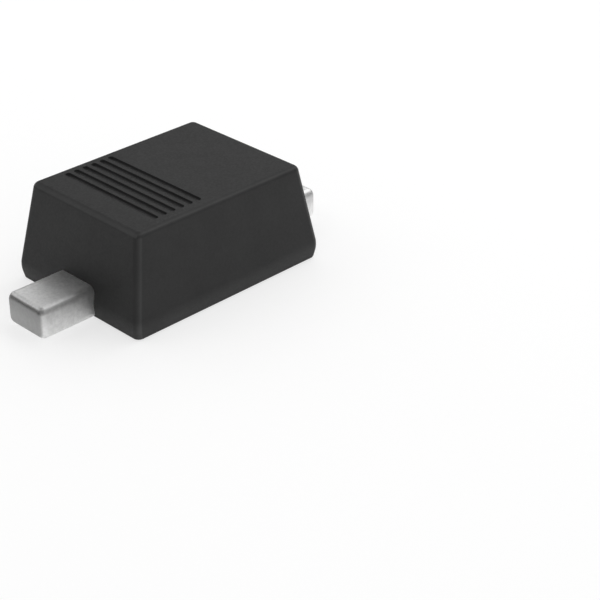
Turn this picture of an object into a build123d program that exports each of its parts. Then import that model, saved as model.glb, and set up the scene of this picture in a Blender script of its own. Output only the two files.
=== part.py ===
from build123d import *
import os
from math import radians, tan

# Two-terminal surface-mount protection diode in a small flat-lead moulded package.
# Millimetres, +Z up. The origin is the middle of the underside, the solder feet lie
# flat on Z = 0, -X is the cathode end beside the grooved band, +X is the anode end.

# Moulded body, measured to the sharp corners that its edge radii replace
body_length = 1.70
body_width = 1.28
body_height = 0.73
parting_height = 0.10        # the widest line, where the two mould halves met
end_wall_draft = 10.2        # degrees, end walls above the parting line
side_wall_draft = 7.9        # degrees, side walls above the parting line
lower_draft = 10.8           # degrees, every wall below the parting line
parting_radius = 0.25        # soft roll of the walls over the parting line
corner_radius = 0.048        # four upright corners
top_edge_radius = 0.045
bottom_edge_radius = 0.020

# Cathode band, a row of fine grooves across the marked top
groove_count = 6
groove_pitch = 0.0754
groove_width = 0.040
groove_depth = 0.022
band_end_margin = 0.245      # top end corner to the middle of the first groove
band_front_margin = 0.0925   # top side corner on -Y to the near end of each groove
band_back_margin = 0.068     # the same on +Y, where the band runs nearer to the corner

# Leads, two bars of one stock thickness
lead_span = 2.55             # tip to tip
lead_thickness = 0.236
lead_width = 0.38
lead_edge_radius = 0.055     # long edges of the plated foot
lead_tip_radius = 0.050      # edges around its outer end
flush_run = 0.010            # foot underside that shows past the body's bottom edge
neck_width = 0.27            # narrower strip that the compound grips behind the foot
pad_rise = 0.10              # compound left below the plates inside
rise_angle = 45.0            # degrees, slope of the stamped step

# Plates inside the compound
plate_gap = 0.22             # between the chip plate and the wire plate
wire_plate_length = 0.38
wire_plate_width = 0.60
chip_plate_width = 0.76
plate_corner_radius = 0.05
lock_notch_radius = 0.06     # half-round side notches filled by the compound
lock_notch_setback = 0.13    # from the step to the middle of each notch

# Chip and the film that holds it down
chip_side = 0.36
chip_thickness = 0.11
chip_edge_margin = 0.10      # from the chip to the inner edge of its plate
contact_side = 0.15          # raised metal contact on the chip
contact_thickness = 0.004
contact_corner_radius = 0.025
attach_thickness = 0.012
attach_ledge = 0.008         # film that stays level around the chip
attach_spread = 0.020        # further run-out at the foot of its sloping rim
attach_corner_radius = 0.040

# Bond wire, from a ball on the chip over a low loop to a flat stitch
wire_diameter = 0.038
ball_diameter = 0.095
ball_height = 0.024
ball_edge_radius = 0.010
loop_rise = 0.10             # wire centre above the ball
loop_bend_radius = 0.055
stitch_inset = 0.12          # from the wire plate's inner edge
stitch_length = 0.10
stitch_width = 0.075
stitch_thickness = 0.013

# Values worked out from the ones above
top_half_length = body_length / 2 - (body_height - parting_height) * tan(radians(end_wall_draft))
top_half_width = body_width / 2 - (body_height - parting_height) * tan(radians(side_wall_draft))
foot_half_length = body_length / 2 - parting_height * tan(radians(lower_draft))
bottom_edge_run = bottom_edge_radius * tan(radians(90 - lower_draft) / 2)
flat_half_length = foot_half_length - bottom_edge_run
lead_tip = lead_span / 2
step_start = flat_half_length - flush_run
step_end = step_start - pad_rise / tan(radians(rise_angle))
plate_top = pad_rise + lead_thickness
wire_plate_inner = step_end - wire_plate_length
chip_plate_inner = wire_plate_inner - plate_gap
chip_plate_length = step_end + chip_plate_inner
chip_x = chip_plate_inner - chip_edge_margin - chip_side / 2
chip_bottom = plate_top + attach_thickness
chip_top = chip_bottom + chip_thickness
contact_top = chip_top + contact_thickness
ball_top = contact_top + ball_height
stitch_x = wire_plate_inner + stitch_inset


def wall_section(half_span, draft, plane):
    """Closed section across the body, leaning in both ways from its widest line."""
    top = half_span - (body_height - parting_height) * tan(radians(draft))
    foot = half_span - parting_height * tan(radians(lower_draft))
    right_side = [(foot, 0), (half_span, parting_height), (top, body_height)]
    left_side = [(-across, up) for across, up in reversed(right_side)]
    face = make_face(Polyline(*right_side, *left_side, close=True))
    widest = face.vertices().group_by(Axis.Y)[1]
    return plane * fillet(widest, parting_radius)


def drafted_block():
    """The body before its band is cut: both sections crossed, then every edge eased."""
    ends = extrude(wall_section(body_length / 2, end_wall_draft, Plane.XZ), body_width, both=True)
    sides = extrude(wall_section(body_width / 2, side_wall_draft, Plane.YZ), body_length, both=True)
    block = ends & sides
    flat_tolerance = 1e-6
    uprights = [edge for edge in block.edges() if edge.bounding_box().size.Z > flat_tolerance]
    block = fillet(uprights, corner_radius)
    block = fillet(block.faces().sort_by(Axis.Z)[-1].edges(), top_edge_radius)
    return fillet(block.faces().sort_by(Axis.Z)[0].edges(), bottom_edge_radius)


def cathode_band():
    """Cutters for the grooves, round-ended slots set side by side along the body."""
    first = -top_half_length + band_end_margin
    length = 2 * top_half_width - band_front_margin - band_back_margin
    middle = (band_front_margin - band_back_margin) / 2
    slots = Sketch()
    for index in range(groove_count):
        place = Pos(first + index * groove_pitch, middle) * Rot(0, 0, 90)
        slots += place * SlotOverall(length, groove_width)
    return extrude(Pos(0, 0, body_height) * slots, -groove_depth)


def plated_foot():
    """The bar that shows outside the body, from its rounded tip to the stamped step."""
    length = lead_tip - step_start
    middle = (lead_tip + step_start) / 2
    bar = Pos(middle, 0, lead_thickness / 2) * Box(length, lead_width, lead_thickness)
    bar = fillet(bar.edges().filter_by(Axis.X), min(lead_edge_radius, 0.45 * lead_thickness))
    tip_radius = min(lead_tip_radius, 0.9 * lead_edge_radius)
    return fillet(bar.faces().sort_by(Axis.X)[-1].edges(), tip_radius)


def stepped_neck():
    """The narrow strip that climbs from the foot to the plate inside."""
    side = Polyline(
        (step_start, 0),
        (step_end, pad_rise),
        (step_end, plate_top),
        (step_start, lead_thickness),
        close=True,
    )
    return extrude(make_face(Plane.XZ * side), neck_width / 2, both=True)


def locked_plate(length, width):
    """A flat plate behind the step, with round corners and a locking notch each side."""
    outline = Pos(step_end - length / 2, 0) * RectangleRounded(length, width, plate_corner_radius)
    for side in (-1, 1):
        outline -= Pos(step_end - lock_notch_setback, side * width / 2) * Circle(lock_notch_radius)
    return extrude(Pos(0, 0, pad_rise) * outline, lead_thickness)


def lead(plate_length, plate_width):
    """One whole lead on the +X side: foot, neck and plate in one piece of metal."""
    return plated_foot() + stepped_neck() + locked_plate(plate_length, plate_width)


def anode_lead():
    """The lead that the bond wire lands on."""
    return lead(wire_plate_length, wire_plate_width)


def cathode_lead():
    """The lead that carries the chip, turned to the other end of the body."""
    return Rot(0, 0, 180) * lead(chip_plate_length, chip_plate_width)


def die_attach():
    """Film of solder under the chip, with a sloping rim."""
    foot_side = chip_side + 2 * (attach_ledge + attach_spread)
    head_side = chip_side + 2 * attach_ledge
    foot = Pos(chip_x, 0, plate_top) * RectangleRounded(foot_side, foot_side, attach_corner_radius)
    head_radius = attach_corner_radius - attach_spread
    head = Pos(chip_x, 0, chip_bottom) * RectangleRounded(head_side, head_side, head_radius)
    return loft([foot, head], ruled=True)


def silicon_die():
    """Sawn chip with its raised metal contact."""
    chip = Pos(chip_x, 0, chip_bottom) * extrude(Rectangle(chip_side, chip_side), chip_thickness)
    outline = RectangleRounded(contact_side, contact_side, contact_corner_radius)
    contact = extrude(outline, contact_thickness)
    return chip + Pos(chip_x, 0, chip_top) * contact


def bond_wire():
    """Ball, loop and stitch drawn from one wire."""
    ball = Pos(chip_x, 0, contact_top) * extrude(Circle(ball_diameter / 2), ball_height)
    ball = fillet(ball.edges(), ball_edge_radius)
    start = (chip_x, 0, ball_top - ball_height / 2)
    crest = (chip_x, 0, ball_top + loop_rise)
    landing = (stitch_x, 0, plate_top + stitch_thickness / 2)
    loop = FilletPolyline(start, crest, landing, radius=loop_bend_radius)
    tube = sweep(Plane(origin=start, z_dir=(0, 0, 1)) * Circle(wire_diameter / 2), path=loop)
    stitch = extrude(Ellipse(stitch_length / 2, stitch_width / 2), stitch_thickness)
    stitch = Pos(stitch_x, 0, plate_top) * stitch
    return split(ball + tube + stitch, Plane.XY.offset(plate_top), keep=Keep.TOP)


def moulded_body(held_pieces):
    """Epoxy compound, poured around everything that it holds."""
    body = drafted_block() - cathode_band()
    for piece in held_pieces:
        body -= piece
    return body


held = {
    "cathode_lead": cathode_lead(),
    "anode_lead": anode_lead(),
    "die_attach": die_attach(),
    "silicon_die": silicon_die(),
    "bond_wire": bond_wire(),
}
nodes = {"moulded_body": moulded_body(held.values()), **held}

os.makedirs("parts", exist_ok=True)
for name, shape in nodes.items():
    export_step(shape, f"parts/{name}.step")
    print(f"{name:14s} {len(shape.solids())} solid  {shape.volume:.5f} mm3")
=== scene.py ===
"""Looks of a two-terminal protection diode in a small flat-lead package.

The pieces are modelled at the sizes of the solids, in millimetres, and each finished
piece is brought to the scene's metres with its place in its mesh.
"""

import logging
import math
from dataclasses import dataclass
from enum import Enum
from typing import Callable, Iterable

import bmesh
import bpy
from mathutils import Matrix, Vector


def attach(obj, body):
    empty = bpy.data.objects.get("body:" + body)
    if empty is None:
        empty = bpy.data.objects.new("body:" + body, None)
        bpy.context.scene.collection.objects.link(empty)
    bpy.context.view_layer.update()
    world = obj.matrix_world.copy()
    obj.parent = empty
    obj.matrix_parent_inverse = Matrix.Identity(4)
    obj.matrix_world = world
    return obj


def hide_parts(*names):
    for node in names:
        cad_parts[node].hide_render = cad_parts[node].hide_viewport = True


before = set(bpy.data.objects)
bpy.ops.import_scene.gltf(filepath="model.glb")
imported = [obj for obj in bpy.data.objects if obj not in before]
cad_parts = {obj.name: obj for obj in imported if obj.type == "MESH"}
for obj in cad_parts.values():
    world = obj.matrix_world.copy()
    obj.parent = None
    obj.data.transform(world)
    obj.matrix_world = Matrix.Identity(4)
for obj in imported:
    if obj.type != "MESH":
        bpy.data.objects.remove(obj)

LOG = logging.getLogger("diode")

METRES_PER_MM = 0.001
METRES_PER_MICRON = 1e-6
BODY_NAME = "root"
PLACE_TOLERANCE = 1e-4      # mm, how near an edge or a face lies to the place that picks it
MERGE_DISTANCE = 5e-5       # mm, points nearer than this are one point
SPLIT_TOLERANCE = 1e-6      # mm, how near a point counts as on the plane that splits a face
SEAT_OVERLAP = 0.002        # mm, how far a pocket's cutter runs on below the piece's seat
SQUARE_ON = 0.999           # how straight a face looks along an axis, where 1 is exactly
FACE_WEIGHT = 100           # lets the large faces decide how a round is shaded
ROUND_PROFILE = 0.5         # bevel profile of a true round
SHARP_ANGLE = 35.0          # degrees, faces that meet at more keep a crisp edge
RIGHT_ANGLE = 90.0          # degrees
SHOWN_FACETS = 10           # facets across the foot's rounds, the uprights and the top edge
LOW_FACETS = 8              # across the parting roll and the bottom edge
HIDDEN_FACETS = 6           # across the corners inside the casting
SMALL_FACETS = 5            # across the rounds of a groove and of the wire's ball
SLOT_SIDES = 32             # sides of a groove's turned plug and of a lock notch
BALL_SIDES = 48             # sides of the wire's ball and of its stitch
PATTERN_SPAN = (0.3, 0.7)   # where a cloudy pattern has nearly all of its values
WHITE = (1.0, 1.0, 1.0)
HIGHLIGHT_NAME = "edge_highlight"       # on each point, the strength of the painted highlight on a rounded edge, from 0 to 1
CUT_NAME = "groove_cut"     # on each point, from 0 on the top to 1 on the floor of a groove

Mesh = bpy.types.Object
Socket = bpy.types.NodeSocket
PlaceTest = Callable[[Vector, Vector], bool]


class Pick(Enum):
    """What is selected in edit mode."""

    EDGES = "EDGE"
    FACES = "FACE"


class Join(Enum):
    """What is done with another piece."""

    CUT = "DIFFERENCE"
    WELD = "UNION"


def upright(start: Vector, end: Vector) -> bool:
    """Say whether an edge's two ends are at different heights."""
    return abs(start.z - end.z) > PLACE_TOLERANCE


def direction(azimuth: float, elevation: float) -> Vector:
    """Turn two angles into a direction.

    Args:
        azimuth: Degrees round from +X.
        elevation: Degrees up from level.

    Returns:
        The unit vector.
    """
    around = math.radians(azimuth)
    up = math.radians(elevation)
    return Vector((math.cos(around) * math.cos(up), math.sin(around) * math.cos(up), math.sin(up)))


class Bench:
    """Modelling steps in millimetres, on one piece or on what is picked of it by its place."""

    @staticmethod
    def deselect() -> None:
        """Leave nothing selected, so that the next operator acts on one piece only."""
        bpy.ops.object.select_all(action="DESELECT")

    @staticmethod
    def only(piece: Mesh) -> None:
        """Make one piece the selected and active one.

        Args:
            piece: The piece.
        """
        Bench.deselect()
        piece.select_set(True)
        bpy.context.view_layer.objects.active = piece

    @staticmethod
    def settle(piece: Mesh) -> None:
        """Put a piece's place, turn and scale into its mesh."""
        Bench.only(piece)
        bpy.ops.object.transform_apply(location=True, rotation=True, scale=True)

    @staticmethod
    def add(name: str, primitive: Callable[..., object], **shape: object) -> Mesh:
        """Add a primitive at its size and place.

        Args:
            name: Name of the new piece.
            primitive: The operator that adds it.
            shape: What the operator is told, in millimetres.

        Returns:
            The piece, with its place in its mesh.
        """
        Bench.deselect()
        primitive(**shape)
        piece = bpy.context.object
        piece.name = name
        piece.data.name = name
        Bench.settle(piece)
        return piece

    @staticmethod
    def block(name: str, low: Vector, high: Vector) -> Mesh:
        """Add a block between two corners.

        Args:
            name: Name of the new piece.
            low: Lowest corner, in millimetres.
            high: Highest corner, in millimetres.

        Returns:
            The block, with its place in its mesh.
        """
        return Bench.add(
            name,
            bpy.ops.mesh.primitive_cube_add,
            size=1,
            location=(low + high) / 2,
            scale=high - low,
        )

    @staticmethod
    def pad(name: str, side: float, low: float, high: float) -> Mesh:
        """Add a square block centred on the Z axis.

        Args:
            name: Name of the new piece.
            side: Length of its sides, in millimetres.
            low: Height of its underside.
            high: Height of its upper face.

        Returns:
            The block, with its place in its mesh.
        """
        half = side / 2
        return Bench.block(name, Vector((-half, -half, low)), Vector((half, half, high)))

    @staticmethod
    def pick(piece: Mesh, kind: Pick, test: Callable[..., bool]) -> None:
        """Enter edit mode with only the edges or faces selected that pass a test.

        Args:
            piece: The piece to edit.
            kind: Whether edges or faces are picked.
            test: Says of an edge or a face whether it is selected.
        """
        Bench.only(piece)
        bpy.ops.object.mode_set(mode="EDIT")
        bpy.ops.mesh.select_mode(type=kind.value)
        bpy.ops.mesh.select_all(action="DESELECT")
        shape = bmesh.from_edit_mesh(piece.data)
        for element in shape.edges if kind is Pick.EDGES else shape.faces:
            if test(element):
                element.select_set(True)
        shape.select_flush_mode()
        bmesh.update_edit_mesh(piece.data)

    @staticmethod
    def pick_edges(piece: Mesh, test: PlaceTest) -> None:
        """Enter edit mode with only the edges selected whose two ends pass a test."""
        Bench.pick(piece, Pick.EDGES, lambda edge: test(edge.verts[0].co, edge.verts[1].co))

    @staticmethod
    def pick_faces(piece: Mesh, test: PlaceTest) -> None:
        """Enter edit mode with only the faces selected whose middle and normal pass a test."""
        Bench.pick(piece, Pick.FACES, lambda face: test(face.calc_center_median(), face.normal))

    @staticmethod
    def pick_all(piece: Mesh) -> None:
        """Enter edit mode with every face selected."""
        Bench.pick(piece, Pick.FACES, lambda _: True)

    @staticmethod
    def leave_edit() -> None:
        """Go back to object mode."""
        bpy.ops.object.mode_set(mode="OBJECT")

    @staticmethod
    def face_outwards() -> None:
        """Point all faces of the piece in hand outwards, and leave edit mode."""
        bpy.ops.mesh.select_all(action="SELECT")
        bpy.ops.mesh.normals_make_consistent(inside=False)
        Bench.leave_edit()

    @staticmethod
    def draw_out(run: tuple[float, float, float] | Vector) -> None:
        """Extrude what is picked, and move the new end by a run."""
        bpy.ops.mesh.extrude_region_move(TRANSFORM_OT_translate={"value": run})

    @staticmethod
    def split(point: tuple, normal: tuple, keep_above: bool = False) -> None:
        """Split what is picked along a plane, and leave edit mode.

        Args:
            point: A point of the plane, in millimetres.
            normal: The way the plane faces.
            keep_above: Whether only what lies on that side is kept, closed with a flat face.
        """
        bpy.ops.mesh.bisect(
            plane_co=point,
            plane_no=normal,
            use_fill=keep_above,
            clear_inner=keep_above,
            threshold=SPLIT_TOLERANCE,
        )
        Bench.leave_edit()

    @staticmethod
    def round_edges(piece: Mesh, test: PlaceTest, run: float, facets: int) -> None:
        """Round the edges that pass a test.

        Args:
            piece: The piece to round.
            test: Says of an edge's two ends whether the edge is rounded.
            run: How far the round reaches from the sharp edge along each face.
            facets: Facets across the round.
        """
        Bench.pick_edges(piece, test)
        bpy.ops.mesh.bevel(
            offset_type="OFFSET",
            offset=run,
            segments=facets,
            profile=ROUND_PROFILE,
            clamp_overlap=False,
        )
        Bench.leave_edit()

    @staticmethod
    def scale_face(piece: Mesh, height: float, shares: tuple[float, float]) -> None:
        """Resize the level face at one height about the Z axis, to give walls their draft.

        Args:
            piece: The piece to edit.
            height: Height of the face, in millimetres.
            shares: What is left of its length and its width.
        """
        Bench.pick_faces(piece, lambda middle, _: abs(middle.z - height) < PLACE_TOLERANCE)
        bpy.ops.transform.resize(value=(*shares, 1), center_override=(0, 0, height))
        Bench.leave_edit()

    @staticmethod
    def combine(piece: Mesh, others: Iterable[Mesh], join: Join) -> None:
        """Cut other pieces out of one, or weld them to it, and remove them.

        Args:
            piece: The piece that stays.
            others: The cutters, or the pieces to weld.
            join: Whether they are cut out or welded.
        """
        for other in others:
            Bench.only(piece)
            joint = piece.modifiers.new("Combine", "BOOLEAN")
            joint.operation = join.value
            joint.solver = "EXACT"
            joint.use_self = True
            joint.object = other
            bpy.ops.object.modifier_apply(modifier=joint.name)
            bpy.data.objects.remove(other)

    @staticmethod
    def copy(piece: Mesh, name: str) -> Mesh:
        """Copy a piece with its own mesh.

        Args:
            piece: The piece.
            name: Name of the copy.

        Returns:
            The copy.
        """
        twin = piece.copy()
        twin.data = piece.data.copy()
        twin.name = name
        bpy.context.scene.collection.objects.link(twin)
        return twin

    @staticmethod
    def mould(piece: Mesh, seats: tuple[float, ...]) -> Mesh:
        """Copy a piece as the cutter of its own pocket.

        The faces that it sits on are drawn a little down, into what is hollow already or
        out of the casting, so that no two cuts end in the same plane.

        Args:
            piece: The piece that the casting is poured round.
            seats: Heights of the faces that it sits on.

        Returns:
            The cutter.
        """
        cutter = Bench.copy(piece, f"{piece.name}_mould")
        for seat in seats:
            Bench.pick_faces(
                cutter,
                lambda middle, normal: normal.z < -SQUARE_ON
                and abs(middle.z - seat) < PLACE_TOLERANCE,
            )
            Bench.draw_out((0, 0, -SEAT_OVERLAP))
            Bench.leave_edit()
        return cutter

    @staticmethod
    def to_metres(piece: Mesh) -> None:
        """Bring a piece's mesh from millimetres to metres."""
        piece.scale = (METRES_PER_MM,) * 3
        Bench.settle(piece)

    @staticmethod
    def finish(piece: Mesh) -> Mesh:
        """Merge doubles, point faces outwards, shade the rounds and bring to metres.

        Args:
            piece: The finished shape, in millimetres.

        Returns:
            The piece in metres, at the origin, unturned and unscaled.
        """
        Bench.pick_all(piece)
        bpy.ops.mesh.remove_doubles(threshold=MERGE_DISTANCE)
        Bench.face_outwards()
        bpy.ops.object.shade_smooth_by_angle(angle=math.radians(SHARP_ANGLE))
        flats = piece.modifiers.new("Flats", "WEIGHTED_NORMAL")
        flats.weight = FACE_WEIGHT
        flats.keep_sharp = True
        bpy.ops.object.modifier_apply(modifier=flats.name)
        Bench.to_metres(piece)
        return piece


class NodeBoard:
    """The nodes of a material or a world, and the steps that all of them share."""

    def __init__(self, owner: bpy.types.Material | bpy.types.World) -> None:
        """Give the material or the world its nodes.

        Args:
            owner: The material or the world.
        """
        owner.use_nodes = True
        self.nodes = owner.node_tree.nodes
        self.links = owner.node_tree.links

    def fill(self, socket: Socket, value: Socket | float) -> None:
        """Set an input to a number, or link another node's output to it.

        Args:
            socket: The input.
            value: The number or the output.
        """
        if isinstance(value, Socket):
            self.links.new(value, socket)
        else:
            socket.default_value = value

    def maths(self, operation: str, *values: Socket | float) -> Socket:
        """Add a node that works out one value from others.

        Args:
            operation: What it does with them.
            values: The numbers or outputs that it reads, in order.

        Returns:
            The value.
        """
        node = self.nodes.new("ShaderNodeMath")
        node.operation = operation
        for socket, value in zip(node.inputs, values):
            self.fill(socket, value)
        return node.outputs["Value"]

    def ramp(self, value: Socket, span: tuple, ends: tuple, soft: bool = False) -> Socket:
        """Turn a range of values into another one.

        Args:
            value: What is read.
            span: Where the range starts and ends.
            ends: What it becomes there, each a number or another node's output.
            soft: Whether the change starts and ends gently.

        Returns:
            The new value.
        """
        node = self.nodes.new("ShaderNodeMapRange")
        node.interpolation_type = "SMOOTHSTEP" if soft else "LINEAR"
        self.links.new(value, node.inputs["Value"])
        for name, edge in zip(("From Min", "From Max", "To Min", "To Max"), (*span, *ends)):
            self.fill(node.inputs[name], edge)
        return node.outputs["Result"]

    def ray(self, kind: str) -> Socket:
        """Return 1 for rays of one kind, and 0 for the rest."""
        return self.nodes.new("ShaderNodeLightPath").outputs[f"Is {kind} Ray"]


class NodeSheet(NodeBoard):
    """A new material for one finish, and the steps that the finishes share."""

    def __init__(self, name: str) -> None:
        """Start a material whose patterns are measured in millimetres.

        Args:
            name: Name of the material.
        """
        self.material = bpy.data.materials.new(name)
        super().__init__(self.material)
        self.shader = self.nodes["Principled BSDF"]
        place = self.nodes.new("ShaderNodeTexCoord")
        self.millimetres = self.nodes.new("ShaderNodeMapping")
        self.millimetres.inputs["Scale"].default_value = (1 / METRES_PER_MM,) * 3
        self.links.new(place.outputs["Object"], self.millimetres.inputs["Vector"])

    def grain(self, size: float, detail: float = 3.0, roughness: float = 0.55) -> Socket:
        """Add a cloudy pattern.

        Args:
            size: Width of one cloud, in millimetres.
            detail: Number of finer layers in it.
            roughness: How strong the finer layers are.

        Returns:
            The pattern's strength, from 0 to 1.
        """
        noise = self.nodes.new("ShaderNodeTexNoise")
        noise.inputs["Scale"].default_value = 1 / size
        noise.inputs["Detail"].default_value = detail
        noise.inputs["Roughness"].default_value = roughness
        self.links.new(self.millimetres.outputs["Vector"], noise.inputs["Vector"])
        return noise.outputs["Fac"]

    def spread(self, pattern: Socket, ends: tuple) -> Socket:
        """Stretch the middle of a pattern over a range of values."""
        return self.ramp(pattern, PATTERN_SPAN, ends)

    def axis(self, name: str) -> Socket:
        """Add a node that gives how far a point lies along one axis.

        Args:
            name: X, Y or Z.

        Returns:
            The distance, in millimetres.
        """
        place = self.nodes.new("ShaderNodeSeparateXYZ")
        self.links.new(self.millimetres.outputs["Vector"], place.inputs["Vector"])
        return place.outputs[name]

    def scaled(self, share: Socket) -> bpy.types.Node:
        """Add a node that multiplies a colour by a share, and feed it to the shader.

        Args:
            share: The share.

        Returns:
            The node, whose first input takes the colour.
        """
        node = self.nodes.new("ShaderNodeVectorMath")
        node.operation = "SCALE"
        self.links.new(share, node.inputs["Scale"])
        self.links.new(node.outputs["Vector"], self.shader.inputs["Base Color"])
        return node

    def polish(self, pattern: Socket, roughness: tuple[float, float]) -> None:
        """Let the shader's roughness vary over a range, by a pattern."""
        self.links.new(self.spread(pattern, roughness), self.shader.inputs["Roughness"])

    def shade(self, share: Socket) -> None:
        """Multiply the shader's colour by a share."""
        colour = self.shader.inputs["Base Color"].links[0].from_socket
        self.links.new(colour, self.scaled(share).inputs[0])

    def tone(self, pattern: Socket, tones: tuple, tint: tuple = WHITE) -> None:
        """Colour the shader between two tones of one tint, by a pattern."""
        self.scaled(self.spread(pattern, tones)).inputs[0].default_value = tint

    def relief(self, pattern: Socket, microns: float, strength: float) -> None:
        """Roughen the look of the surface by a pattern.

        Args:
            pattern: The pattern.
            microns: Height of its relief.
            strength: Share of the relief that is shown.
        """
        bump = self.nodes.new("ShaderNodeBump")
        bump.inputs["Strength"].default_value = strength
        bump.inputs["Distance"].default_value = microns * METRES_PER_MICRON
        self.links.new(pattern, bump.inputs["Height"])
        self.links.new(bump.outputs["Normal"], self.shader.inputs["Normal"])


@dataclass(frozen=True)
class EpoxyFinish:
    """Charcoal moulding compound with the fine matt texture of its mould.

    It has painted highlights on its rounded edges and painted light from the floor on its
    lower half, and it is lighter towards the floor of each groove.
    """

    tones: tuple[float, float] = (0.0234, 0.0280)
    cloud_size: float = 0.20        # mm
    texture_size: float = 0.016     # mm
    texture_detail: float = 2.0
    texture_height: float = 0.6     # microns
    texture_strength: float = 0.35
    roughness: tuple[float, float] = (0.52, 0.64)
    gloss: float = 0.29
    groove_share: float = 2.2       # brightness on the floor of a groove
    edge_highlight_share: float = 2.3         # brightness of a painted highlight on a rounded edge
    floor_light_share: float = 1.60        # painted light from the floor: brightness of the lower half
    floor_light_span: tuple[float, float] = (0.06, 0.16)   # mm, heights over which it fades

    def material(self) -> bpy.types.Material:
        """Mix the compound.

        Returns:
            Its material.
        """
        sheet = NodeSheet("epoxy_compound")
        sheet.tone(sheet.grain(self.cloud_size), self.tones)
        # painted highlights on the rounded edges, and a lighter floor in each groove
        for name, share in ((HIGHLIGHT_NAME, self.edge_highlight_share), (CUT_NAME, self.groove_share)):
            mark = sheet.nodes.new("ShaderNodeAttribute")
            mark.attribute_name = name
            sheet.shade(sheet.ramp(mark.outputs["Fac"], (0.0, 1.0), (1.0, share), soft=True))
        # painted light from the floor, brighter towards the bottom
        foot = sheet.ramp(sheet.axis("Z"), self.floor_light_span, (self.floor_light_share, 1.0), soft=True)
        sheet.shade(foot)
        texture = sheet.grain(self.texture_size, self.texture_detail)
        sheet.polish(texture, self.roughness)
        sheet.shader.inputs["Specular IOR Level"].default_value = self.gloss
        sheet.relief(texture, self.texture_height, self.texture_strength)
        return sheet.material


@dataclass(frozen=True)
class TinFinish:
    """Matt tin plating, a grey satin metal with a soft crystal mottle.

    The sides carry a band of painted shade below their upper edge, a painted dark reflection,
    and the trimmed tip face is painted darker still, partly as painted shade and partly for its
    duller cut metal.
    """

    upper_face: float               # mm, height of the foot's top
    tip: float                      # mm, from the middle to the end of the foot
    tones: tuple[float, float] = (0.82, 1.0)
    tint: tuple[float, float, float] = (1.0, 1.0, 0.995)
    crystal_size: float = 0.025     # mm
    crystal_detail: float = 4.0
    crystal_fineness: float = 0.6
    crystal_height: float = 0.5     # microns
    crystal_strength: float = 0.3
    roughness: tuple[float, float] = (0.44, 0.54)
    edge_depth: float = 0.017       # mm, from the top to where the band of painted shade starts
    edge_softness: float = 0.010    # mm
    shade_band_depth: float = 0.17     # mm, height over which the band fades out
    shade_band_share: float = 0.68     # how much of the plating's brightness the painted shade leaves
    # the tip face is painted darker, partly as painted shade and partly for its duller cut metal
    tip_trim_and_shade_depth: float = 0.018    # mm, from the tip to where the darker tip face starts
    tip_trim_and_shade_softness: float = 0.012     # mm
    tip_trim_and_shade_share: float = 0.50

    def material(self) -> bpy.types.Material:
        """Mix the plating.

        Returns:
            Its material.
        """
        sheet = NodeSheet("tinned_lead")
        crystals = sheet.grain(self.crystal_size, self.crystal_detail, self.crystal_fineness)
        sheet.tone(crystals, self.tones, self.tint)
        self.paint_side_and_tip_shade(sheet)
        sheet.polish(crystals, self.roughness)
        sheet.shader.inputs["Metallic"].default_value = 1.0
        sheet.relief(crystals, self.crystal_height, self.crystal_strength)
        return sheet.material

    def paint_side_and_tip_shade(self, sheet: NodeSheet) -> None:
        """Paint a band of shade below the sides' upper edge and darken the tip face, partly as
        painted shade, and leave the top as it is.

        Args:
            sheet: The plating's material, with its colour set.
        """
        height = sheet.axis("Z")
        reach = sheet.maths("ABSOLUTE", sheet.axis("X"))
        start = self.tip - self.tip_trim_and_shade_depth
        # darker tip face: partly painted shade, partly the duller cut metal
        tip_trim_and_shade = sheet.ramp(
            reach, (start, start + self.tip_trim_and_shade_softness), (1.0, self.tip_trim_and_shade_share)
        )
        # band of painted shade below the sides' upper edge, a painted dark reflection
        edge = self.upper_face - self.edge_depth
        shade_band = sheet.ramp(
            height, (edge - self.shade_band_depth, edge), (1.0, self.shade_band_share), soft=True
        )
        sides = sheet.maths("MULTIPLY", tip_trim_and_shade, shade_band)
        span = (edge, edge + self.edge_softness)
        sheet.shade(sheet.ramp(height, span, (sides, 1.0), soft=True))


@dataclass(frozen=True)
class HiddenFinish:
    """A metal or silicon inside the casting, with one fine pattern in tone, polish and relief."""

    name: str
    tones: tuple[float, float]
    tint: tuple[float, float, float]
    metallic: float
    roughness: tuple[float, float]
    pattern_size: float     # mm
    relief_height: float    # microns
    relief_strength: float

    def material(self) -> bpy.types.Material:
        """Mix the finish.

        Returns:
            Its material.
        """
        sheet = NodeSheet(self.name)
        pattern = sheet.grain(self.pattern_size)
        sheet.tone(pattern, self.tones, self.tint)
        sheet.polish(pattern, self.roughness)
        sheet.shader.inputs["Metallic"].default_value = self.metallic
        sheet.relief(pattern, self.relief_height, self.relief_strength)
        return sheet.material


RUN_OUT_SOLDER = HiddenFinish(
    name="attach_solder",
    tones=(0.40, 0.50),
    tint=(1.0, 0.99, 0.97),
    metallic=1.0,
    roughness=(0.45, 0.6),
    pattern_size=0.02,
    relief_height=0.5,
    relief_strength=0.3,
)
SAWN_SILICON = HiddenFinish(
    name="silicon",
    tones=(0.16, 0.20),
    tint=(0.93, 0.96, 1.0),
    metallic=0.6,
    roughness=(0.28, 0.4),
    pattern_size=0.006,
    relief_height=0.2,
    relief_strength=0.2,
)
DRAWN_GOLD = HiddenFinish(
    name="gold_wire",
    tones=(0.92, 1.0),
    tint=(1.0, 0.76, 0.33),
    metallic=1.0,
    roughness=(0.22, 0.32),
    pattern_size=0.008,
    relief_height=0.1,
    relief_strength=0.2,
)


def dress(piece: Mesh, finish: bpy.types.Material, node: str) -> Mesh:
    """Give a finished piece its material and hang it on the frame.

    Args:
        piece: The finished piece.
        finish: Its material.
        node: The CAD node that the piece stands for.

    Returns:
        The same piece.
    """
    piece.data.materials.clear()
    piece.data.materials.append(finish)
    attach(piece, BODY_NAME)
    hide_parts(node)
    LOG.info("%s: %d points", piece.name, len(piece.data.vertices))
    return piece


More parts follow.
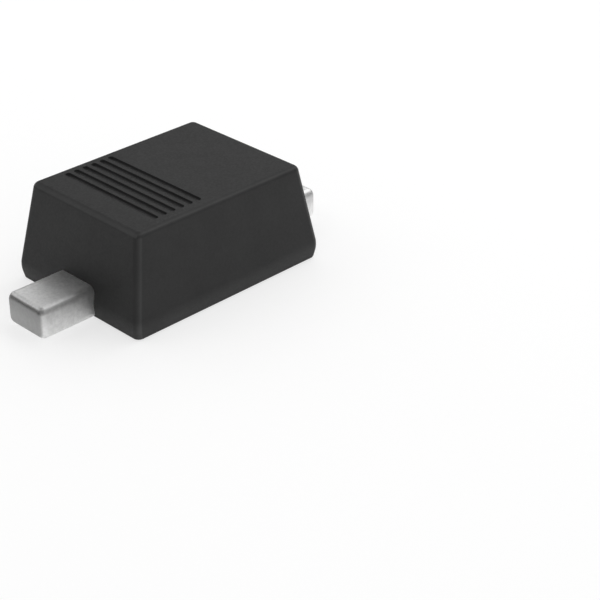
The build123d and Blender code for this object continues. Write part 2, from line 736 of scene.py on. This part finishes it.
@dataclass
class Made:
    """A modelled piece with its finish, and the heights of the faces that it sits on."""

    shape: Mesh
    material: bpy.types.Material
    slot: str
    seats: tuple[float, ...] = ()


class Terminal(Enum):
    """The two terminals, by the end of the body that each leaves."""

    ANODE = "anode"
    CATHODE = "cathode"


@dataclass
class LeadStock:
    """The strip that both leads are stamped from, and the bends that they share."""

    step_start: float           # from the middle to where the foot's underside ends
    span: float = 2.55
    thickness: float = 0.236
    width: float = 0.380
    edge_radius: float = 0.055
    tip_radius: float = 0.0495
    neck_width: float = 0.27
    pad_rise: float = 0.10      # height and run of the 45 degree step
    plate_corner_radius: float = 0.05
    notch_radius: float = 0.06
    notch_setback: float = 0.13

    @property
    def step_end(self) -> float:
        """Where the step meets the plate inside, from the middle."""
        return self.step_start - self.pad_rise

    @property
    def plate_top(self) -> float:
        """Height of the plates' upper face."""
        return self.pad_rise + self.thickness


@dataclass
class Lead:
    """One lead: solder foot outside, stamped step and plate inside."""

    stock: LeadStock
    terminal: Terminal
    plate_length: float
    plate_width: float

    def foot(self) -> Mesh:
        """Model the plated foot that shows.

        Returns:
            The bar, rounded along its edges and round its tip.
        """
        stock = self.stock
        tip = stock.span / 2
        half = stock.width / 2
        bar = Bench.block(
            f"{self.terminal.value}_lead_metal",
            Vector((stock.step_start, -half, 0)),
            Vector((tip, half, stock.thickness)),
        )
        Bench.round_edges(
            bar,
            lambda a, b: abs(a.x - b.x) > PLACE_TOLERANCE,
            stock.edge_radius,
            SHOWN_FACETS,
        )
        Bench.round_edges(
            bar,
            lambda a, b: min(a.x, b.x) > tip - PLACE_TOLERANCE,
            stock.tip_radius,
            SHOWN_FACETS,
        )
        return bar

    def draw_neck(self, lead: Mesh) -> None:
        """Draw the narrow stepped neck out of the foot's inner end.

        Args:
            lead: The foot.
        """
        stock = self.stock
        for side in (-1, 1):
            Bench.pick_faces(
                lead, lambda middle, _: abs(middle.x - stock.step_start) < PLACE_TOLERANCE
            )
            Bench.split((0, side * stock.neck_width / 2, 0), (0, 1, 0))
        Bench.pick_faces(
            lead,
            lambda middle, _: abs(middle.x - stock.step_start) < PLACE_TOLERANCE
            and abs(middle.y) < PLACE_TOLERANCE,
        )
        Bench.draw_out((-stock.pad_rise, 0, stock.pad_rise))
        Bench.leave_edit()

    def draw_plate(self, lead: Mesh) -> None:
        """Draw the plate out of the neck's inner end, widen it and round its corners.

        Args:
            lead: The foot with its neck.
        """
        stock = self.stock
        half = self.plate_width / 2
        Bench.pick_faces(
            lead, lambda middle, _: abs(middle.x - stock.step_end) < PLACE_TOLERANCE
        )
        Bench.draw_out((-self.plate_length, 0, 0))
        Bench.leave_edit()
        for side in (-1, 1):
            Bench.pick_faces(
                lead,
                lambda middle, normal: middle.x < stock.step_end - PLACE_TOLERANCE
                and normal.y * side > SQUARE_ON,
            )
            Bench.draw_out((0, side * (half - stock.neck_width / 2), 0))
            Bench.leave_edit()
        Bench.round_edges(
            lead,
            lambda a, b: upright(a, b)
            and min(abs(a.y), abs(b.y)) > half - PLACE_TOLERANCE
            and max(a.x, b.x) < stock.step_end + PLACE_TOLERANCE,
            stock.plate_corner_radius,
            HIDDEN_FACETS,
        )

    def notch(self, lead: Mesh) -> None:
        """Cut a half-round lock notch into each side of the plate.

        Args:
            lead: The lead with its plate.
        """
        stock = self.stock
        middle = stock.step_end - stock.notch_setback
        half = self.plate_width / 2
        notches = [
            Bench.add(
                "notch",
                bpy.ops.mesh.primitive_cylinder_add,
                vertices=SLOT_SIDES,
                radius=stock.notch_radius,
                depth=2 * stock.thickness,
                location=(middle, side * half, (stock.pad_rise + stock.plate_top) / 2),
            )
            for side in (-1, 1)
        ]
        Bench.combine(lead, notches, Join.CUT)

    def shape(self) -> Mesh:
        """Model the whole lead.

        Returns:
            One piece of metal, still in millimetres.
        """
        lead = self.foot()
        self.draw_neck(lead)
        self.draw_plate(lead)
        self.notch(lead)
        if self.terminal is Terminal.CATHODE:
            lead.rotation_euler.z = math.pi
            Bench.settle(lead)
        return lead


@dataclass
class ChipStack:
    """The chip, its raised contact and the solder film that holds it on its plate."""

    plate_top: float
    chip_end: float             # X of the chip's side nearest to the wire plate
    side: float = 0.36
    thickness: float = 0.11
    contact_side: float = 0.15
    contact_thickness: float = 0.004
    contact_corner: float = 0.025
    film_thickness: float = 0.012
    film_ledge: float = 0.008
    film_spread: float = 0.020
    film_corner: float = 0.040

    @property
    def centre_x(self) -> float:
        """Middle of the chip along the leads."""
        return self.chip_end - self.side / 2

    @property
    def chip_bottom(self) -> float:
        """Height of the chip's underside."""
        return self.plate_top + self.film_thickness

    @property
    def contact_top(self) -> float:
        """Height of the contact's upper face."""
        return self.chip_bottom + self.thickness + self.contact_thickness

    def film(self) -> Mesh:
        """Model the solder film.

        Returns:
            A low block whose rim slopes out to the plate.
        """
        foot = self.side / 2 + self.film_ledge + self.film_spread
        head = self.side / 2 + self.film_ledge
        film = Bench.pad("film", 2 * foot, self.plate_top, self.chip_bottom)
        Bench.round_edges(film, upright, self.film_corner, HIDDEN_FACETS)
        Bench.scale_face(film, self.chip_bottom, (head / foot, head / foot))
        return self.slid(film)

    def chip(self) -> Mesh:
        """Model the sawn chip.

        Returns:
            The chip with its raised contact, in one piece.
        """
        top = self.chip_bottom + self.thickness
        chip = Bench.pad("chip", self.side, self.chip_bottom, top)
        contact = Bench.pad("contact", self.contact_side, top, self.contact_top)
        Bench.round_edges(contact, upright, self.contact_corner, HIDDEN_FACETS)
        Bench.combine(chip, [contact], Join.WELD)
        return self.slid(chip)

    def slid(self, piece: Mesh) -> Mesh:
        """Slide a piece from the middle to the chip's place.

        Args:
            piece: The piece.

        Returns:
            The same piece.
        """
        piece.location.x = self.centre_x
        Bench.settle(piece)
        return piece


@dataclass
class BondWire:
    """Ball, loop and stitch, drawn from one wire."""

    chip_x: float
    ball_bottom: float
    stitch_x: float
    plate_top: float
    diameter: float = 0.038
    ball_diameter: float = 0.095
    ball_height: float = 0.024
    ball_edge: float = 0.010
    loop_rise: float = 0.10
    bend_radius: float = 0.055
    stitch_length: float = 0.10
    stitch_width: float = 0.075
    stitch_thickness: float = 0.013
    wire_sides: int = 24
    bend_facets: int = 12

    def ball(self) -> Mesh:
        """Model the ball on the chip's contact.

        Returns:
            A flattened ball, rounded at its edges.
        """
        ball = Bench.add(
            "ball",
            bpy.ops.mesh.primitive_cylinder_add,
            vertices=BALL_SIDES,
            radius=self.ball_diameter / 2,
            depth=self.ball_height,
            location=(self.chip_x, 0, self.ball_bottom + self.ball_height / 2),
        )
        Bench.round_edges(ball, lambda a, b: not upright(a, b), self.ball_edge, SMALL_FACETS)
        return ball

    def loop(self) -> Mesh:
        """Model the wire: up from the ball, round one bend, and straight down to its stitch.

        Returns:
            A closed tube that starts within the ball and ends within the stitch.
        """
        start_z = self.ball_bottom + self.ball_height / 2
        crest = Vector((self.chip_x, 0, self.ball_bottom + self.ball_height + self.loop_rise))
        landing = Vector((self.stitch_x, 0, self.plate_top + self.stitch_thickness / 2))
        fall = (landing - crest).normalized()
        turn = Vector((0, 0, 1)).angle(fall)
        tangent = self.bend_radius * math.tan(turn / 2)
        wire = Bench.add(
            "wire",
            bpy.ops.mesh.primitive_circle_add,
            vertices=self.wire_sides,
            radius=self.diameter / 2,
            fill_type="NGON",
            location=(self.chip_x, 0, start_z),
        )
        Bench.pick_all(wire)
        Bench.draw_out((0, 0, crest.z - tangent - start_z))
        bpy.ops.mesh.spin(
            steps=self.bend_facets,
            angle=-turn,
            center=(self.chip_x + self.bend_radius, 0, crest.z - tangent),
            axis=(0, 1, 0),
        )
        Bench.draw_out(fall * ((landing - crest).length - tangent))
        Bench.face_outwards()
        return wire

    def stitch(self) -> Mesh:
        """Model the flattened end.

        Returns:
            The stitch, which runs on below the plate's face until it is cut.
        """
        return Bench.add(
            "stitch",
            bpy.ops.mesh.primitive_cylinder_add,
            vertices=BALL_SIDES,
            radius=1 / 2,
            depth=2 * self.stitch_thickness,
            location=(self.stitch_x, 0, self.plate_top),
            scale=(self.stitch_length, self.stitch_width, 1),
        )

    def shape(self) -> Mesh:
        """Model the whole wire.

        Returns:
            Ball, loop and stitch in one piece, cut level where it is welded to the plate.
        """
        wire = self.ball()
        Bench.combine(wire, [self.loop(), self.stitch()], Join.WELD)
        Bench.pick_all(wire)
        Bench.split((0, 0, self.plate_top), (0, 0, 1), keep_above=True)
        return wire


@dataclass(frozen=True)
class EdgeHighlight:
    """Where a painted highlight lies on a rounded edge, by the degrees that its surface has turned.
    """

    start: float
    middle: float
    end: float
    strength: float

    def at(self, turned: float) -> float:
        """Say how strong the painted highlight is.

        Args:
            turned: Degrees that it has turned.

        Returns:
            The painted highlight's strength, from 0 to the edge's own strength.
        """
        rise = (turned - self.start) / (self.middle - self.start)
        fall = (self.end - turned) / (self.end - self.middle)
        return self.strength * max(min(rise, fall), 0)


@dataclass
class MouldedBody:
    """The epoxy casting, with drafted walls, a soft parting roll and the cathode band."""

    length: float = 1.70
    width: float = 1.28
    height: float = 0.73
    parting_height: float = 0.10
    end_wall_draft: float = 10.2
    side_wall_draft: float = 7.9
    lower_draft: float = 10.8
    parting_radius: float = 0.25
    corner_radius: float = 0.048
    top_edge_radius: float = 0.045
    bottom_edge_radius: float = 0.020
    groove_count: int = 6
    groove_pitch: float = 0.0754
    groove_width: float = 0.040
    groove_depth: float = 0.022
    groove_rim: float = 0.004
    groove_floor: float = 0.005
    band_end_margin: float = 0.245
    band_front_margin: float = 0.0925
    band_back_margin: float = 0.068
    # painted highlights on the rounded edges: where they lie and how strong they are
    end_edge_highlight: EdgeHighlight = EdgeHighlight(start=14, middle=35, end=80, strength=1.0)      # up from level
    side_edge_highlight: EdgeHighlight = EdgeHighlight(start=24, middle=49, end=74, strength=0.65)    # up from level
    upright_highlight: EdgeHighlight = EdgeHighlight(start=0, middle=18, end=72, strength=1.0)        # from side to end
    corner_middle: float = 45.0         # degrees from side to end at the middle of a corner
    upright_fade: float = 45.0          # degrees up from level over which the uprights' painted highlight fades

    @property
    def flat_half_length(self) -> float:
        """From the middle to where the flat underside ends and the bottom round starts."""
        lean = self.parting_height * math.tan(math.radians(self.lower_draft))
        turn = math.radians(RIGHT_ANGLE - self.lower_draft)
        return self.length / 2 - lean - self.bottom_edge_radius * math.tan(turn / 2)

    @property
    def rise(self) -> float:
        """Height of the walls above the parting line."""
        return self.height - self.parting_height

    def wall_share(self, span: float, draft: float, rise: float) -> float:
        """Return the share of a span that is left where its walls have leaned in over a rise."""
        return (span / 2 - rise * math.tan(math.radians(draft))) / (span / 2)

    def half_top(self, span: float, draft: float) -> float:
        """Return half of a length or a width at the top, up to the sharp corner."""
        return span / 2 * self.wall_share(span, draft, self.rise)

    def block(self) -> Mesh:
        """Model the casting before its band is cut.

        Returns:
            The block with its drafted walls and its rounds.
        """
        half_x = self.length / 2
        half_y = self.width / 2
        block = Bench.block(
            "body", Vector((-half_x, -half_y, 0)), Vector((half_x, half_y, self.height))
        )
        Bench.pick_all(block)
        Bench.split((0, 0, self.parting_height), (0, 0, 1))
        top = (
            self.wall_share(self.length, self.end_wall_draft, self.rise),
            self.wall_share(self.width, self.side_wall_draft, self.rise),
        )
        foot = (
            self.wall_share(self.length, self.lower_draft, self.parting_height),
            self.wall_share(self.width, self.lower_draft, self.parting_height),
        )
        Bench.scale_face(block, self.height, top)
        Bench.scale_face(block, 0, foot)
        self.ease(block)
        return block

    def ease(self, block: Mesh) -> None:
        """Round the parting line, the uprights, the top edge and the bottom edge, in turn.

        Args:
            block: The drafted block.
        """
        upper_draft = (self.end_wall_draft + self.side_wall_draft) / 2
        parting_turn = math.radians(upper_draft + self.lower_draft)
        top_turn = math.radians(RIGHT_ANGLE - upper_draft)
        foot_turn = math.radians(RIGHT_ANGLE - self.lower_draft)
        near = PLACE_TOLERANCE
        Bench.round_edges(
            block,
            lambda a, b: max(abs(a.z - self.parting_height), abs(b.z - self.parting_height)) < near,
            self.parting_radius * math.tan(parting_turn / 2),
            LOW_FACETS,
        )
        Bench.round_edges(block, upright, self.corner_radius, SHOWN_FACETS)
        Bench.round_edges(
            block,
            lambda a, b: min(a.z, b.z) > self.height - near,
            self.top_edge_radius * math.tan(top_turn / 2),
            SHOWN_FACETS,
        )
        Bench.round_edges(
            block,
            lambda a, b: max(a.z, b.z) < near,
            self.bottom_edge_radius * math.tan(foot_turn / 2),
            LOW_FACETS,
        )

    def groove_profile(self) -> list[tuple[float, float]]:
        """Work out the wall of a groove: flared rim, wall and rounded floor.

        Returns:
            Radius and height, from above the top down to the floor.
        """
        rim = self.groove_rim
        floor = self.groove_floor
        inner = self.groove_width / 2
        bottom = self.height - self.groove_depth
        turns = [
            math.radians(RIGHT_ANGLE * step / SMALL_FACETS) for step in range(SMALL_FACETS + 1)
        ]
        flare = [
            (inner + rim * (1 - math.sin(turn)), self.height - rim * (1 - math.cos(turn)))
            for turn in turns
        ]
        foot = [
            (inner - floor * (1 - math.cos(turn)), bottom + floor * (1 - math.sin(turn)))
            for turn in turns
        ]
        clear_of_top = (inner + rim, self.height + 2 * rim)
        return [clear_of_top, *flare, *foot]

    def groove(self) -> Mesh:
        """Model one groove, centred on the Z axis.

        Returns:
            Its cutter, a short turned plug that is pulled apart along Y into a round-ended slot.
        """
        profile = self.groove_profile()
        radius, height = profile[0]
        plug = Bench.add(
            "groove",
            bpy.ops.mesh.primitive_circle_add,
            vertices=SLOT_SIDES,
            radius=radius,
            fill_type="NGON",
            location=(0, 0, height),
            rotation=(0, 0, math.pi / SLOT_SIDES),
        )
        Bench.pick_all(plug)
        for (radius, height), (last_radius, last_height) in zip(profile[1:], profile):
            Bench.draw_out((0, 0, height - last_height))
            share = radius / last_radius
            bpy.ops.transform.resize(value=(share, share, 1), center_override=(0, 0, height))
        Bench.face_outwards()
        half_top = self.half_top(self.width, self.side_wall_draft)
        for side, margin in ((-1, self.band_front_margin), (1, self.band_back_margin)):
            run = side * (half_top - margin - self.groove_width / 2)
            Bench.pick_edges(plug, lambda a, b: min(a.y * side, b.y * side) > 0)
            bpy.ops.transform.translate(value=(0, run, 0))
            Bench.leave_edit()
        return plug

    def band(self) -> list[Mesh]:
        """Model the cathode band.

        Returns:
            The cutters, one for each groove.
        """
        first = self.band_end_margin - self.half_top(self.length, self.end_wall_draft)
        plug = self.groove()
        cutters = []
        for index in range(self.groove_count):
            cutter = Bench.copy(plug, f"groove_{index}")
            cutter.location.x = first + index * self.groove_pitch
            Bench.settle(cutter)
            cutters.append(cutter)
        bpy.data.objects.remove(plug)
        return cutters

    def rub(self, facing: Vector) -> float:
        """Say how strong the painted highlight on a rounded edge is.

        Args:
            facing: The way that its surface faces.

        Returns:
            The painted highlight's strength, from 0 to 1.
        """
        heading = math.degrees(math.atan2(abs(facing.x), abs(facing.y)))
        climb = math.degrees(math.asin(min(abs(facing.z), 1.0)))
        level_highlight = self.end_edge_highlight if heading > self.corner_middle else self.side_edge_highlight
        upright_share = max(1 - climb / self.upright_fade, 0)
        return max(level_highlight.at(climb), self.upright_highlight.at(heading) * upright_share)

    def mark(self, body: Mesh) -> None:
        """Store the marks that the compound's material reads on the casting's points: its painted
        edge highlights and the depth in each groove.

        Args:
            body: The finished casting, in metres.
        """
        inner_x = self.half_top(self.length, self.end_wall_draft) - self.top_edge_radius
        inner_y = self.half_top(self.width, self.side_wall_draft) - self.top_edge_radius
        floor = self.groove_depth + PLACE_TOLERANCE
        mesh = body.data
        crisp = {point for edge in mesh.edges if edge.use_edge_sharp for point in edge.vertices}
        # painted highlights on the rounded edges, and the depth in each groove
        highlights = mesh.attributes.new(HIGHLIGHT_NAME, "FLOAT", "POINT")
        cuts = mesh.attributes.new(CUT_NAME, "FLOAT", "POINT")
        for point in mesh.vertices:
            place = point.co / METRES_PER_MM
            depth = self.height - place.z
            if abs(place.x) < inner_x and abs(place.y) < inner_y:
                if depth < floor:
                    cuts.data[point.index].value = depth / self.groove_depth
            elif point.index not in crisp:
                highlights.data[point.index].value = self.rub(point.normal)

    def shape(self, moulds: list[Mesh]) -> Mesh:
        """Return the casting, cut by its band and poured round what it holds.

        Args:
            moulds: The cutters of the pockets of what it holds, in millimetres.

        Returns:
            The casting, still in millimetres.
        """
        body = self.block()
        Bench.combine(body, self.band(), Join.CUT)
        Bench.combine(body, moulds, Join.CUT)
        return body


@dataclass
class Softbox:
    """A square lamp that looks at the object."""

    name: str
    azimuth: float              # degrees round from +X
    elevation: float            # degrees above the floor
    brightness: float           # 1 is the brightness of white paper in plain light
    distance: float = 40.0      # mm
    side: float = 24.0          # mm

    def build(self, aim: Vector) -> None:
        """Hang the lamp in the scene.

        Args:
            aim: The point that it faces, in metres.
        """
        lamp = bpy.data.lights.new(self.name, "AREA")
        lamp.shape = "SQUARE"
        lamp.size = self.side * METRES_PER_MM
        lamp.energy = self.brightness * math.pi * lamp.size**2      # watts
        out = direction(self.azimuth, self.elevation)
        stand = bpy.data.objects.new(self.name, lamp)
        bpy.context.scene.collection.objects.link(stand)
        stand.location = aim + out * self.distance * METRES_PER_MM
        stand.rotation_euler = out.to_track_quat("Z", "Y").to_euler()
        stand.visible_camera = False


@dataclass
class StudioCamera:
    """The camera, placed by the point that it looks at."""

    focal_length: float = 97.5
    sensor_width: float = 36.0
    aim: tuple[float, float, float] = (0.3092, -0.9787, 0.0)    # mm
    distance: float = 11.098                                    # mm
    heading: float = 44.654     # degrees, direction of view round from +X
    dip: float = 30.096         # degrees below the horizon
    roll: float = 0.217         # degrees
    near: float = 0.1           # mm, the nearest that it sees
    far: float = 1000.0         # mm, the farthest

    def build(self) -> None:
        """Set up the camera and make it the scene's camera."""
        forward = direction(self.heading, -self.dip)
        lens = bpy.data.cameras.new("camera")
        lens.lens = self.focal_length
        lens.sensor_width = self.sensor_width
        lens.clip_start = self.near * METRES_PER_MM
        lens.clip_end = self.far * METRES_PER_MM
        camera = bpy.data.objects.new("camera", lens)
        bpy.context.scene.collection.objects.link(camera)
        eye = (Vector(self.aim) - forward * self.distance) * METRES_PER_MM
        level = forward.to_track_quat("-Z", "Y").to_matrix().to_4x4()
        tilt = Matrix.Rotation(math.radians(self.roll), 4, "Z")
        camera.matrix_world = Matrix.Translation(eye) @ level @ tilt
        bpy.context.scene.camera = camera


@dataclass
class Studio:
    """Plain pale floor, white surroundings and soft lamps."""

    floor_side: float = 400.0       # mm
    floor_drop: float = 0.001       # mm, keeps the floor clear of the feet
    floor_tone: float = 0.80
    camera_shadow: float = 0.5      # how much of the shadow's depth the camera sees
    mirror_shadow: float = 1.0      # and how much of it the plating mirrors
    lamp_share: float = 0.70        # brightness that the lamps alone give the bare floor
    world_fill: float = 0.36
    aim_height: float = 0.35        # mm

    def floor(self) -> None:
        """Lay the floor. Its colour renders white, and it keeps the object's shadow."""
        floor = Bench.add(
            "studio_floor",
            bpy.ops.mesh.primitive_plane_add,
            size=self.floor_side,
            location=(0, 0, -self.floor_drop),
        )
        Bench.to_metres(floor)
        floor.data.materials.append(self.paper())

    def paper(self) -> bpy.types.Material:
        """Mix the floor's finish.

        It lights the object as plain paper does. The camera and the plating see it white
        where no shadow falls, and for the camera a glow takes depth from the shadow.

        Returns:
            Its material.
        """
        paper = bpy.data.materials.new("pale_floor")
        board = NodeBoard(paper)
        board.nodes.clear()
        seen = board.ray("Camera")
        depth = board.ramp(seen, (0.0, 1.0), (self.mirror_shadow, self.camera_shadow))
        lit = board.nodes.new("ShaderNodeBsdfDiffuse")
        lit.inputs["Color"].default_value = (self.floor_tone,) * 3 + (1,)
        paint = board.nodes.new("ShaderNodeBsdfDiffuse")
        board.fill(paint.inputs["Color"], board.maths("MULTIPLY", depth, self.floor_tone))
        glow = board.nodes.new("ShaderNodeEmission")
        strength = board.maths("MULTIPLY_ADD", depth, -self.lamp_share, 1.0)
        board.fill(glow.inputs["Strength"], strength)
        for kind in ("Glossy", "Transmission"):
            seen = board.maths("MAXIMUM", seen, board.ray(kind))
        shown = board.nodes.new("ShaderNodeAddShader")
        both = board.nodes.new("ShaderNodeMixShader")
        output = board.nodes.new("ShaderNodeOutputMaterial")
        for value, socket in (
            (paint.outputs["BSDF"], shown.inputs[0]),
            (glow.outputs["Emission"], shown.inputs[1]),
            (seen, both.inputs["Fac"]),
            (lit.outputs["BSDF"], both.inputs[1]),
            (shown.outputs["Shader"], both.inputs[2]),
            (both.outputs["Shader"], output.inputs["Surface"]),
        ):
            board.links.new(value, socket)
        return paper

    def world(self) -> None:
        """Surround the scene with white for the camera, and with an even fill light.

        The fill reaches matt surfaces only, so the plating mirrors the lamps and the floor.
        """
        world = bpy.data.worlds.new("studio")
        bpy.context.scene.world = world
        board = NodeBoard(world)
        background = board.nodes["Background"]
        background.inputs["Color"].default_value = (*WHITE, 1)
        fill = board.maths(
            "MULTIPLY_ADD", board.ray("Diffuse"), self.world_fill, board.ray("Camera")
        )
        board.fill(background.inputs["Strength"], fill)

    def lamps(self) -> None:
        """Hang the softboxes."""
        aim = Vector((0, 0, self.aim_height * METRES_PER_MM))
        for box in (
            Softbox("right_box", azimuth=315, elevation=50, brightness=1.05),
            Softbox("right_back_box", azimuth=0, elevation=50, brightness=1.20),
            Softbox("low_right_back_box", azimuth=0, elevation=30, brightness=1.05),
            Softbox("left_box", azimuth=135, elevation=42, brightness=0.95),
            Softbox("back_box", azimuth=45, elevation=30, brightness=0.83),
            Softbox("high_back_box", azimuth=45, elevation=50, brightness=0.55),
            Softbox("left_back_box", azimuth=90, elevation=30, brightness=0.79),
            Softbox("right_front_box", azimuth=270, elevation=15, brightness=0.67),
            Softbox("low_right_box", azimuth=315, elevation=15, brightness=0.45),
            Softbox("front_box", azimuth=225, elevation=55, brightness=0.65),
        ):
            box.build(aim)

    def build(self) -> None:
        """Set up floor, surroundings, lamps and camera."""
        bpy.context.scene.view_settings.view_transform = "Standard"
        self.floor()
        self.world()
        self.lamps()
        StudioCamera().build()


@dataclass
class Diode:
    """The whole part: the sizes that its pieces share, and the order they are made in."""

    flush_run: float = 0.010            # foot underside that shows past the flat underside
    plate_gap: float = 0.22             # between the chip plate and the wire plate
    wire_plate_length: float = 0.38
    wire_plate_width: float = 0.60
    chip_plate_width: float = 0.76
    chip_margin: float = 0.10           # from the chip to the inner edge of its plate
    stitch_inset: float = 0.12          # from the wire plate's inner edge

    def build(self) -> None:
        """Model every piece, pour the body round the others, and dress them all."""
        casting = MouldedBody()
        stock = LeadStock(casting.flat_half_length - self.flush_run)
        wire_plate_inner = stock.step_end - self.wire_plate_length
        chip_plate_inner = wire_plate_inner - self.plate_gap
        chip_plate_length = stock.step_end + chip_plate_inner
        anode = Lead(stock, Terminal.ANODE, self.wire_plate_length, self.wire_plate_width)
        cathode = Lead(stock, Terminal.CATHODE, chip_plate_length, self.chip_plate_width)
        stack = ChipStack(stock.plate_top, chip_plate_inner - self.chip_margin)
        wire = BondWire(
            stack.centre_x, stack.contact_top, wire_plate_inner + self.stitch_inset, stock.plate_top
        )
        tin = TinFinish(stock.thickness, stock.span / 2).material()
        solder = RUN_OUT_SOLDER.material()
        silicon = SAWN_SILICON.material()
        gold = DRAWN_GOLD.material()
        board = (0.0,)
        wire_seats = (stack.contact_top, stock.plate_top)
        held = {
            "anode_lead": Made(anode.shape(), tin, "tinned_lead", board),
            "cathode_lead": Made(cathode.shape(), tin, "tinned_lead", board),
            "die_attach": Made(stack.film(), solder, "attach_solder", (stack.plate_top,)),
            "silicon_die": Made(stack.chip(), silicon, "silicon", (stack.chip_bottom,)),
            "bond_wire": Made(wire.shape(), gold, "gold_wire", wire_seats),
        }
        moulds = [Bench.mould(piece.shape, piece.seats) for piece in held.values()]
        body = Made(casting.shape(moulds), EpoxyFinish().material(), "epoxy_compound")
        for node, piece in {"moulded_body": body, **held}.items():
            piece.shape.name = f"{node}_fine"
            dress(Bench.finish(piece.shape), piece.material, node)
        casting.mark(body.shape)


def main() -> None:
    """Build the diode piece by piece, dress it and set up its studio."""
    logging.basicConfig(level=logging.INFO, format="%(name)s %(message)s")
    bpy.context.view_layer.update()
    Diode().build()
    Studio().build()


if __name__ == "__main__":
    main()
